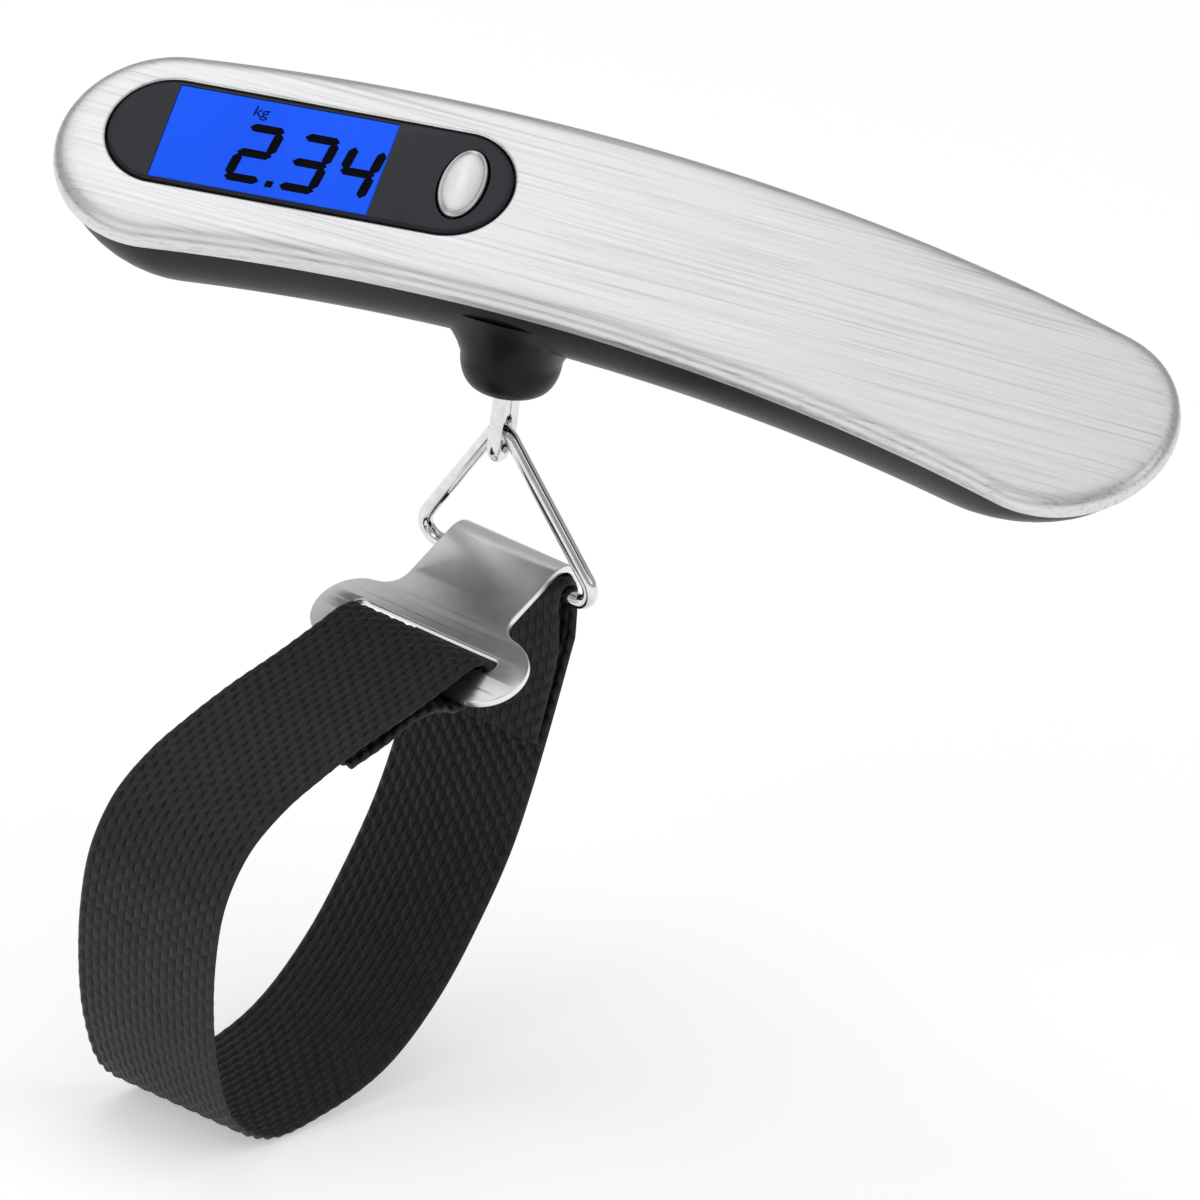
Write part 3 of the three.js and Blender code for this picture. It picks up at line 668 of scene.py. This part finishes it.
# ---- hook plate: cut flat, then curled ----
def hook_plate():
    neck, shoulder, fillet, q = HOOK_NECK / 2, 13.0, 3.5, math.pi / 2
    lobe = (HOOK_LENGTH - shoulder) / 2
    lobe_x = HOOK_WIDTH / 2 - lobe
    tail = -HOOK_R * HOOK_WRAP
    outline = [(-neck, tail), (neck, tail)]
    outline += arc(neck + fillet, shoulder - fillet, fillet, math.pi, q, 10)
    outline += arc(lobe_x, shoulder + lobe, lobe, -q + 0.3, q, 28)
    outline += arc(-lobe_x, shoulder + lobe, lobe, q, 3 * q - 0.3, 28)
    outline += arc(-neck - fillet, shoulder - fillet, fillet, q, 0, 10)
    slot = [(x, y + SLOT_CENTRE) for x, y in stadium((SLOT_L - SLOT_W) / 2, SLOT_W / 2, 14)]
    curve = bpy.data.curves.new("hook", "CURVE")
    curve.dimensions = "2D"
    curve.fill_mode = "BOTH"
    curve.bevel_depth = 0.22
    curve.bevel_resolution = 3
    curve.extrude = HOOK_T / 2 - 0.22
    curve.offset = -0.22
    for row in (outline, slot):
        spline = curve.splines.new("POLY")
        spline.points.add(len(row) - 1)
        for point, (x, y) in zip(spline.points, row):
            point.co = (x, y, 0, 1)
        spline.use_cyclic_u = True
    flat = bpy.data.objects.new("hook", curve)
    bpy.context.collection.objects.link(flat)
    bpy.context.view_layer.update()
    mesh = bpy.data.meshes.new_from_object(flat.evaluated_get(bpy.context.evaluated_depsgraph_get()))
    bpy.data.objects.remove(flat)
    bm = bmesh.new()
    bm.from_mesh(mesh)
    bmesh.ops.remove_doubles(bm, verts=bm.verts, dist=1e-4)
    fine = 0.35  # spacing of the rows across the curl; the flat part keeps every fourth
    for cut in np.arange(tail + 0.3, 24, fine):
        if cut > 0.5 and round(cut / fine) % 4:
            continue
        geometry = bm.verts[:] + bm.edges[:] + bm.faces[:]
        bmesh.ops.bisect_plane(bm, geom=geometry, plane_co=(0, cut, 0), plane_no=(0, 1, 0), dist=1e-5)
    for vert in bm.verts:
        x, s, t = vert.co
        radius = HOOK_R + t
        if s < 0:
            turn = math.pi / 2 - s / HOOK_R
            vert.co = (x, radius * math.cos(turn), radius * math.sin(turn))
        else:
            vert.co = (x, s, radius)
    bm.to_mesh(mesh)
    bm.free()
    finish_mesh("stamped_hook", mesh, POLISHED, IN_HOOK, "hook", 28, ["hook_plate"])


# ---- webbing ----
def smooth_path(points, step):
    """A smooth Hermite curve through side-view points, cut into equal steps."""
    pts = np.array(points, float)
    chord = np.concatenate([[0], np.cumsum(np.linalg.norm(np.diff(pts, axis=0), axis=1))])
    slopes = np.gradient(pts, chord, axis=0)
    fine = []
    for i in range(len(pts) - 1):
        span = chord[i + 1] - chord[i]
        for u in np.linspace(0, 1, 60, endpoint=False):
            a, b = 2 * u**3 - 3 * u**2 + 1, u**3 - 2 * u**2 + u
            c, d = -2 * u**3 + 3 * u**2, u**3 - u**2
            fine.append(a * pts[i] + b * span * slopes[i] + c * pts[i + 1] + d * span * slopes[i + 1])
    fine = np.array(fine + [pts[-1]])
    length = np.concatenate([[0], np.cumsum(np.linalg.norm(np.diff(fine, axis=0), axis=1))])
    count = max(2, round(length[-1] / step))
    where = np.linspace(0, length[-1], count + 1)
    path = np.column_stack([np.interp(where, length, fine[:, k]) for k in (0, 1)])
    return path, where


CHAIN, PICK = 25.0 / 18, 2.5  # width of one warp chain and length of one stitch of it
RELIEF, PATH_STEP = 0.5, 0.3


def weave(s, u):
    """Height of the weave's surface at s along and u across: chains of plump warp floats."""
    column_at = np.floor(u / CHAIN)
    in_column = (u / CHAIN - column_at) * 2 - 1
    crown = np.sqrt(np.clip(1 - in_column**2, 0, 1))
    phase = s / PICK + 0.5 * (column_at % 2) + 0.18 * in_column
    float_at = np.abs(np.sin(np.pi * phase))
    return RELIEF * (crown * (0.12 + 0.88 * float_at) - 0.55)


def band(name, points, half_at, replaces, offset=0.0):
    """Webbing along a side-view path, with its woven relief on both faces."""
    path, where = smooth_path(points, PATH_STEP)
    tangent = np.gradient(path, where, axis=0)
    tangent /= np.linalg.norm(tangent, axis=1)[:, None]
    normal = np.column_stack([-tangent[:, 1], tangent[:, 0]])
    across = np.linspace(-1, 1, 18 * 6 + 1)  # six steps to a chain
    rings = []
    for (x, y), (nx, ny), s in zip(path, normal, where):
        half = half_at(s)
        u = across * half
        lift = STRAP_T / 2 - RELIEF * 0.45 + weave(s + offset, across * STRAP_HALF + 50 * CHAIN)
        selvedge = np.clip((1 - np.abs(across)) * STRAP_HALF / 0.7, 0, 1) ** 0.5
        lift = lift * (0.35 + 0.65 * selvedge)
        front = [(x + nx * h, y + ny * h, w) for h, w in zip(lift, u)]
        back = [(x - nx * h, y - ny * h, w) for h, w in zip(lift, u)]
        rings.append(front + back[::-1])
    verts, faces = loft(rings)
    made = make(name, verts, faces, WEB, IN_SIDE, None, None, 75)
    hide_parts(*replaces)
    made["length_mm"] = float(where[-1])
    return made, path, normal, where


def hook_to_side(along, off):
    c, s = math.cos(HOOK_SLOPE), math.sin(HOOK_SLOPE)
    return along * c + off * s, -along * s + off * c


def stitches(name, rows, body):
    """Short thread stitches across the webbing. A row is its side-view place, its place across, and
    the side-view normal of the face it lies on."""
    long_half, wide_half, tall = 0.75, 0.2, 0.18
    verts, faces = [], []
    for x, y, u, nx, ny in rows:
        base = len(verts)
        rings = []
        for a in (-1, -0.6, 0, 0.6, 1):
            size = math.sqrt(max(0.03, 1 - a * a))
            ring = []
            for k in range(8):
                turn = 2 * math.pi * k / 8
                along_x, along_y = ny, -nx
                lift, side = math.sin(turn) * tall * size, math.cos(turn) * wide_half * size
                at_x, at_y = x + nx * lift + along_x * side, y + ny * lift + along_y * side
                ring.append((at_x, at_y, u + a * long_half))
            rings.append(ring)
        v, f = loft(rings)
        verts += v
        faces += [tuple(i + base for i in face) for face in f]
    make(name, verts, faces, THREAD, IN_SIDE, body, "webbing", 60)


# Side view of the webbing: the loop from the sewn end round the ring's bar to JOIN, then the front run.
JOIN = (73.4, -35.5)
BACK_ROUTE = [
    (5.2, -21.0), (3.7, -14), (2.6, -7), (2.1, -2.6), (2.02, 0), (1.45, 1.45), (0, 2.05), (-1.45, 1.45),
    (-2.03, 0), (-1.7, -2.6), (-0.4, -8), (1.3, -15), (3.1, -22), (4.8, -28), (8, -37), (13.4, -46.6),
    (20.4, -56), (30.5, -64), (44, -67.7), (56, -68), (64.4, -63.4), (69.6, -54.5), (72.4, -44.5),
    (73.35, -37), JOIN,
]
# The turn through the slot: along the hook plate and off it.
HOOK_TURN = [
    (33.4, 9.75), (29.5, 8.75), (25.5, 7.75), (21.5, 6.8), (19.3, 5.6), (18.35, 3.9), (18.9, 2.4),
    (21, 2.0), (25, 1.95), (27.2, 3.2), (28.9, 5.3), (31.5, 7.0), (34, 8.15),
]
FRONT_ROUTE = [JOIN, (73.42, -34), (72.6, -27.3), (69, -20.8), (61.5, -15.6), (54, -12.8), (46, -10.4)]
FRONT_ROUTE += [hook_to_side(along, off) for along, off in HOOK_TURN]
FRONT_ROUTE += [(40, -11.4), (47, -13.0)]
BAR_TURN = 24  # distance along the loop to the middle of its turn round the bar


def loop_half(s):
    """Half width along the loop: narrowed where it goes round the ring's bar."""
    part = min(1, max(0, (abs(s - BAR_TURN) - 4) / 6))
    return EYE_STRAP_HALF + (STRAP_HALF - EYE_STRAP_HALF) * part


def sewn_rows(path, normal, where):
    rows = []
    for distance in (43.5, 46.5):
        i = int(np.searchsorted(where, distance))
        (x, y), (nx, ny), lift = path[i], normal[i], STRAP_T / 2 + 0.02
        for k in range(9):
            rows.append((x - nx * lift, y - ny * lift, -10.4 + k * 2.6, -nx, -ny))
    return rows


def strap():
    back, path, normal, where = band("webbing_loop", BACK_ROUTE, loop_half, ["strap_band"])
    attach(back, "strap")
    whole = lambda s: STRAP_HALF
    front = band("webbing_front", FRONT_ROUTE, whole, ["strap_hook_end"], float(where[-1]))[0]
    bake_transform(front)
    stitches("back_stitches", sewn_rows(path, normal, where), "strap")


# ---- scene ----
def studio(lowest):
    world = bpy.data.worlds.new("studio")
    bpy.context.scene.world = world
    world.use_nodes = True
    world.node_tree.nodes["Background"].inputs["Color"].default_value = (1, 1, 1, 1)
    world.node_tree.nodes["Background"].inputs["Strength"].default_value = 0.42
    floor_mesh = bpy.data.meshes.new("floor")
    r = 4.0
    corners = [(-r, -r, lowest), (r, -r, lowest), (r, r, lowest), (-r, r, lowest)]
    floor_mesh.from_pydata(corners, [], [(0, 1, 2, 3)])
    floor = bpy.data.objects.new("floor", floor_mesh)
    bpy.context.collection.objects.link(floor)
    n = Nodes("pale_floor")
    tint = n.shade(n.noise(n.place(), 3, 2), (0.93, 0.93, 0.93), (0.95, 0.95, 0.95))
    n.set(Base_Color=tint, Roughness=0.9)
    n.set(Emission_Color=(1, 1, 1, 1))
    n.shader.inputs["Emission Strength"].default_value = 0.42
    n.shader.inputs["Specular IOR Level"].default_value = 0.1
    floor_mesh.materials.append(n.material)
    floor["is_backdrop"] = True
    lamp("top_softbox", (-0.13, 0.0, 0.44), (0.01, 0, 0), 0.13, 0.10, 0.03)
    lamp("hook_softbox", (-0.25, 0.06, 0.33), (0, 0, -0.06), 0.24, 0.24, 0.13)
    lamp("front_softbox", (-0.5, -1.1, 0.8), (0, 0, -0.06), 0.9, 0.9, 2.2)
    lamp("right_softbox", (1.2, -0.3, 0.7), (0, 0, -0.06), 0.7, 0.9, 1.5)
    lamp("floor_fill", (0, 0.3, 2.4), (0, 0.5, -0.1), 2.4, 2.4, 9)


def lamp(name, position, target, width, height, power):
    light = bpy.data.lights.new(name, "AREA")
    light.shape = "RECTANGLE"
    light.size, light.size_y = width, height
    light.energy = power
    made = bpy.data.objects.new(name, light)
    made.location = position
    made.rotation_euler = (Vector(target) - Vector(position)).to_track_quat("-Z", "Y").to_euler()
    bpy.context.collection.objects.link(made)


AZIMUTH, ELEVATION, ROLL = math.radians(19.8), math.radians(24), math.radians(7)
VIEW_WIDTH = 168.85 * MM
CENTRE = (9.85, -55.58)  # the view's middle, in mm along the camera's own x and y
FOCAL, SENSOR = 1400.0, 36.0


def camera():
    right = Vector((math.cos(AZIMUTH), math.sin(AZIMUTH), 0))
    tip = math.sin(ELEVATION)
    up = Vector((-math.sin(AZIMUTH) * tip, math.cos(AZIMUTH) * tip, math.cos(ELEVATION)))
    back = right.cross(up)
    x = right * math.cos(ROLL) + up * math.sin(ROLL)
    y = up * math.cos(ROLL) - right * math.sin(ROLL)
    centre = (x * CENTRE[0] + y * CENTRE[1]) * MM
    data = bpy.data.cameras.new("camera")
    data.lens, data.sensor_width = FOCAL, SENSOR
    made = bpy.data.objects.new("camera", data)
    turned_m = Matrix((x, y, back)).transposed().to_4x4()
    made.matrix_world = Matrix.Translation(centre + back * (VIEW_WIDTH * FOCAL / SENSOR)) @ turned_m
    bpy.context.collection.objects.link(made)
    bpy.context.scene.camera = made


for item in frame["record"]["subparts"]:
    node = frame["nodes"][item["node"]]
    node.data.materials.clear()
    node.data.materials.append(NODE_LOOKS[item["material_slot"]])

camera()
front_plate()
lower_housing()
battery_door()
window()
display_face()
reading()
unit_sign()
button()
eye_and_ring()
hook_plate()
strap()
low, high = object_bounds()
studio(min(low[2], cad_low[2]) - 0.0002)
bpy.context.scene.view_settings.view_transform = "Standard"

low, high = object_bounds()
